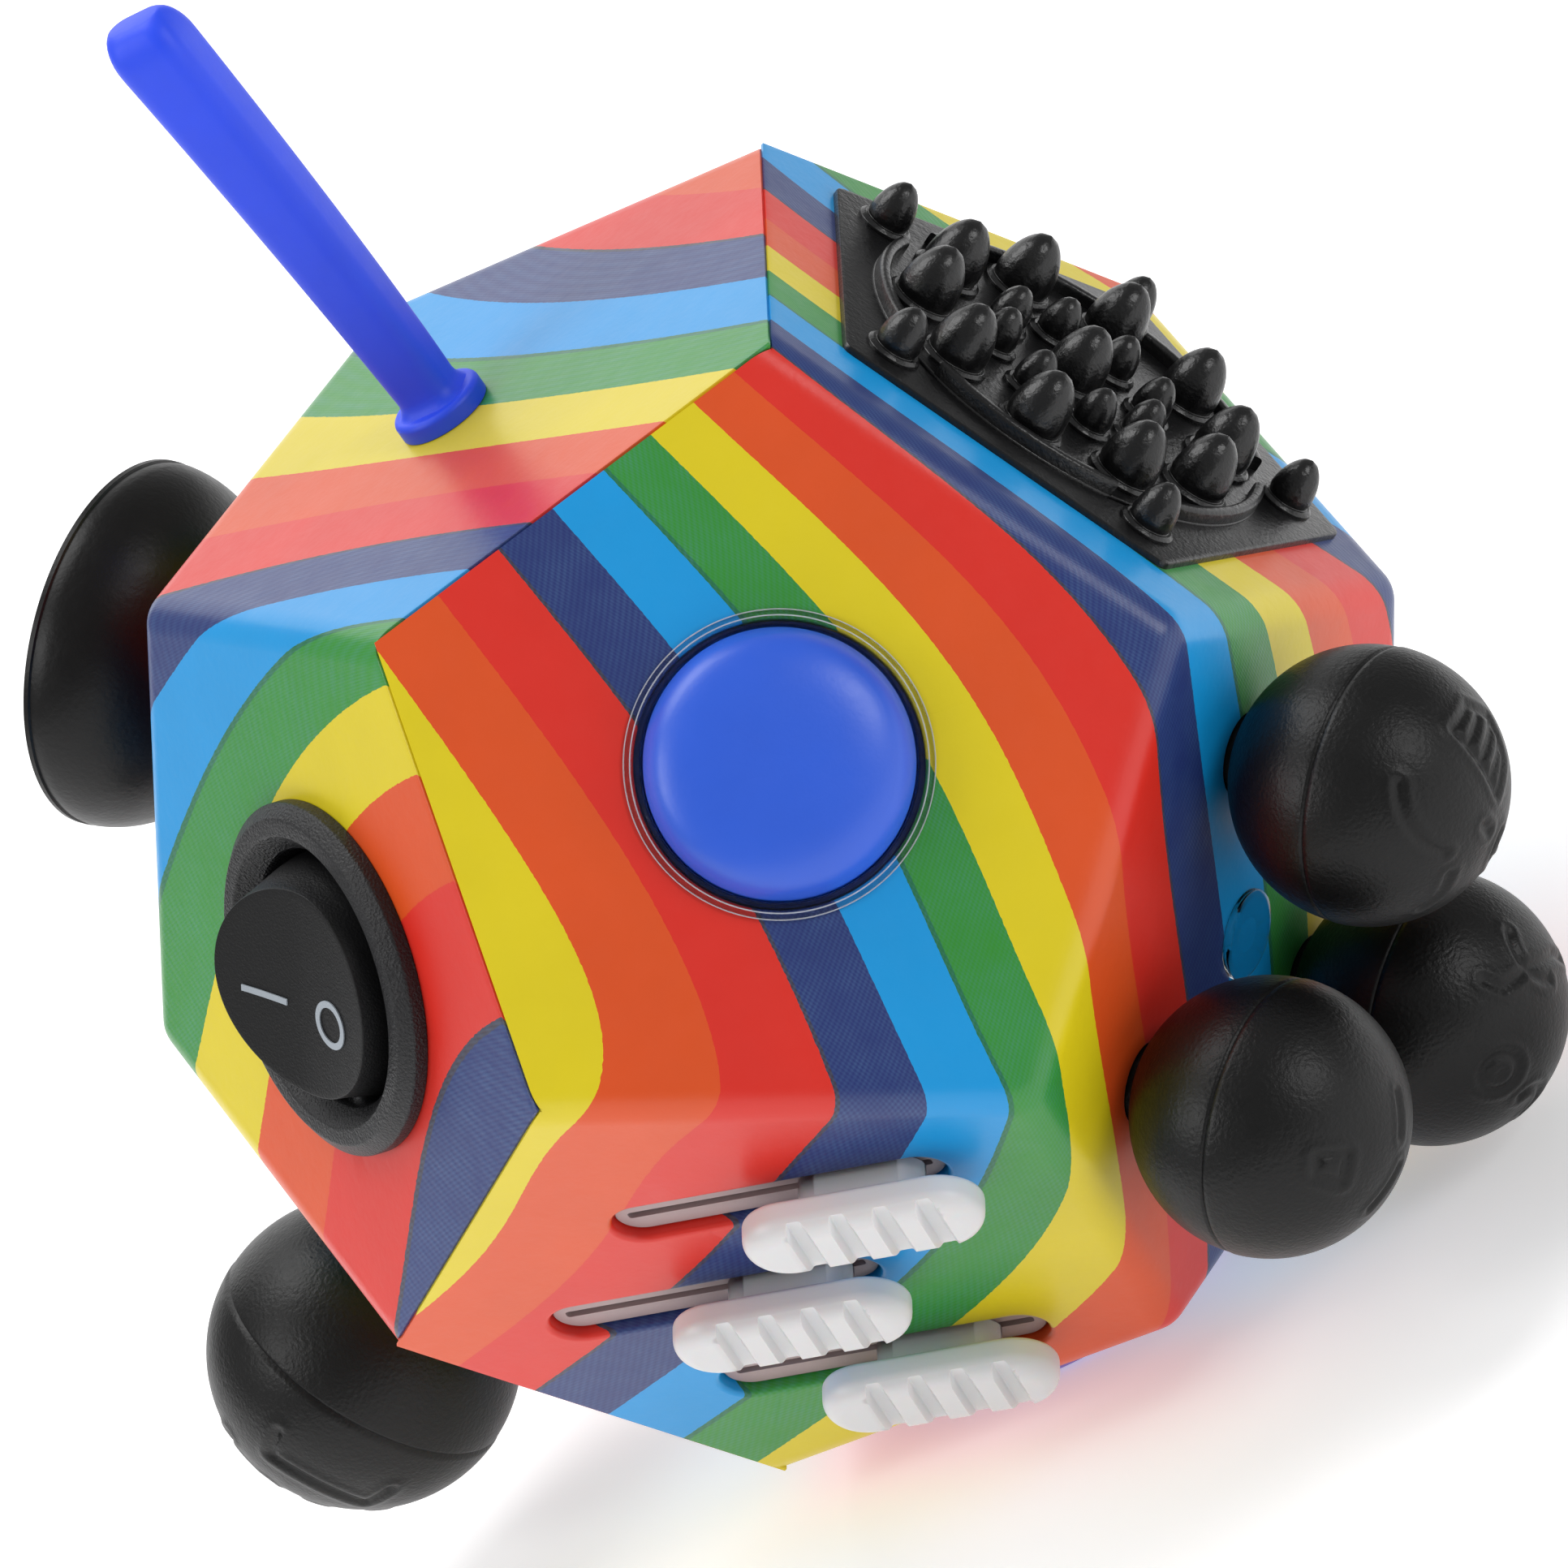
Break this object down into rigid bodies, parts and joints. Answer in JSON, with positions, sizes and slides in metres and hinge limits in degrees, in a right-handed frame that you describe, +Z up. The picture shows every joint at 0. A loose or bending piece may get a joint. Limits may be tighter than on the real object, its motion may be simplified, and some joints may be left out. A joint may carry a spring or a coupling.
{
  "type": "fidget toy",
  "caption": "Twelve-sided fidget toy with rainbow-striped shells and a button, rocker switch, sliders, soft balls, pull loop, spike pad, thumb stick, wheels and dial on its faces.",
  "frame": {"origin": "centre of the flat face of the worry pad that the toy stands on", "axes": "+Z up through the face with the pull loop, -Y towards the face with the push button, +X towards the side with the three small balls"},
  "size_m": [0.0813, 0.0804, 0.0923],
  "materials": {
    "printed_shell": "glossy rainbow stripe film",
    "blue_silicone": "satin silicone",
    "black_silicone": "satin silicone",
    "blue_plastic": "satin moulded",
    "clear_plastic": "clear moulded",
    "white_plastic": "translucent white moulded",
    "black_plastic": "fine textured",
    "grey_plastic": "satin moulded",
    "steel": "bright",
    "copper": "bright",
    "red_plastic": "gloss moulded",
    "yellow_plastic": "gloss moulded",
    "green_plastic": "gloss moulded",
    "dial_blue": "gloss moulded",
    "purple_silicone": "satin silicone"
  },
  "bodies": {
    "body": {"right_shell": "printed_shell", "left_shell": "printed_shell", "loop_anchor": "blue_silicone", "spike_pad": "black_silicone", "spike_pad_washer": "grey_plastic", "button_bezel": "clear_plastic", "button_guide": "grey_plastic", "button_spring": "steel", "rocker_housing": "black_plastic", "rocker_pin": "steel", "rocker_contact": "copper", "rocker_terminals": "steel", "slider_track": "grey_plastic", "ball_group_stud": "clear_plastic", "big_ball_anchor": "black_silicone", "suction_cup": "black_silicone", "suction_cup_washer": "grey_plastic", "stick_housing": "black_plastic", "stick_spring": "steel", "wheel_cradle": "grey_plastic", "wheel_axle": "steel", "roller_collar": "steel", "roller_socket": "grey_plastic", "dial_seat": "black_plastic", "worry_pad": "purple_silicone"},
    "loop": {"pull_loop": "blue_silicone"},
    "button": {"button_cap": "blue_plastic"},
    "paddle": {"rocker_paddle": "black_plastic", "rocker_marks": "white_plastic", "rocker_plunger": "grey_plastic", "rocker_spring": "steel"},
    "slider_a": {"slider_1": "white_plastic"},
    "slider_b": {"slider_2": "white_plastic"},
    "slider_c": {"slider_3": "white_plastic"},
    "small_ball_a": {"ball_1": "black_silicone"},
    "small_ball_b": {"ball_2": "black_silicone"},
    "small_ball_c": {"ball_3": "black_silicone"},
    "squeeze_ball": {"big_ball": "black_silicone"},
    "gimbal": {"stick_gimbal": "steel"},
    "stick": {"stick_dome": "black_plastic", "stick_cap": "black_plastic"},
    "thumb_wheel_a": {"wheel_1": "red_plastic"},
    "thumb_wheel_b": {"wheel_2": "yellow_plastic"},
    "thumb_wheel_c": {"wheel_3": "green_plastic"},
    "roller": {"roller_ball": "steel"},
    "dial": {"dial_disc": "dial_blue", "dial_clip": "steel"}
  },
  "joints": [
    {"name": "loop_bend", "type": "hinge", "parent": "body", "child": "loop", "pos_m": [-0.0018, 0.0026, 0.06735], "axis": [1, 0, 0], "range_deg": [-35, 35], "stiffness_Nm_per_rad": 0.02},
    {"name": "button_press", "type": "slide", "parent": "body", "child": "button", "axis": [0, 0.8944, -0.4472], "range_m": [0, 0.0015], "stiffness_N_per_m": 600, "springref_m": -0.0005},
    {"name": "rocker_flip", "type": "hinge", "parent": "body", "child": "paddle", "pos_m": [-0.02431, -0.00932, 0.04499], "axis": [-0.4971, 0.1459, -0.8553], "range_deg": [0, 22]},
    {"name": "slider_a_slide", "type": "slide", "parent": "body", "child": "slider_a", "axis": [0.8507, -0.4472, -0.2764], "range_m": [-0.0106, 0.0012]},
    {"name": "slider_b_slide", "type": "slide", "parent": "body", "child": "slider_b", "axis": [0.8507, -0.4472, -0.2764], "range_m": [-0.0103, 0.0015]},
    {"name": "slider_c_slide", "type": "slide", "parent": "body", "child": "slider_c", "axis": [0.8507, -0.4472, -0.2764], "range_m": [-0.0091, 0.0027]},
    {"name": "small_ball_a_twist", "type": "hinge", "parent": "body", "child": "small_ball_a", "pos_m": [0.02204, -0.02096, 0.00902], "axis": [0.5257, -0.7236, -0.4472], "continuous": true},
    {"name": "small_ball_b_twist", "type": "hinge", "parent": "body", "child": "small_ball_b", "pos_m": [0.02538, -0.02891, 0.02582], "axis": [0.5257, -0.7236, -0.4472], "continuous": true},
    {"name": "small_ball_c_twist", "type": "hinge", "parent": "body", "child": "small_ball_c", "pos_m": [0.0101, -0.03388, 0.01589], "axis": [0.5257, -0.7236, -0.4472], "continuous": true},
    {"name": "squeeze_ball_sway", "type": "hinge", "parent": "body", "child": "squeeze_ball", "pos_m": [-0.02802, 0.01247, 0.01993], "axis": [-0.309, -0.9511, 0], "range_deg": [-14, 14], "stiffness_Nm_per_rad": 0.03},
    {"name": "stick_tilt_x", "type": "hinge", "parent": "body", "child": "gimbal", "pos_m": [0, 0.02236, 0.02232], "axis": [0, -0.4472, -0.8944], "range_deg": [-14, 14], "stiffness_Nm_per_rad": 0.02},
    {"name": "stick_tilt_y", "type": "hinge", "parent": "gimbal", "child": "stick", "pos_m": [0, 0.02236, 0.02232], "axis": [-1, 0, 0], "range_deg": [-14, 14], "stiffness_Nm_per_rad": 0.02},
    {"name": "thumb_wheel_a_spin", "type": "hinge", "parent": "body", "child": "thumb_wheel_a", "pos_m": [0.02467, 0.00801, 0.025], "axis": [-0.309, 0.9511, 0], "continuous": true},
    {"name": "thumb_wheel_b_spin", "type": "hinge", "parent": "body", "child": "thumb_wheel_b", "pos_m": [0.02467, 0.00801, 0.025], "axis": [-0.309, 0.9511, 0], "continuous": true},
    {"name": "thumb_wheel_c_spin", "type": "hinge", "parent": "body", "child": "thumb_wheel_c", "pos_m": [0.02467, 0.00801, 0.025], "axis": [-0.309, 0.9511, 0], "continuous": true},
    {"name": "roller_spin", "type": "hinge", "parent": "body", "child": "roller", "pos_m": [0.02084, 0.00677, 0.01293], "axis": [-0.309, 0.9511, 0], "continuous": true},
    {"name": "dial_spin", "type": "hinge", "parent": "body", "child": "dial", "pos_m": [0.01682, 0.02315, 0.04781], "axis": [0.5257, 0.7236, 0.4472], "continuous": true}
  ]
}
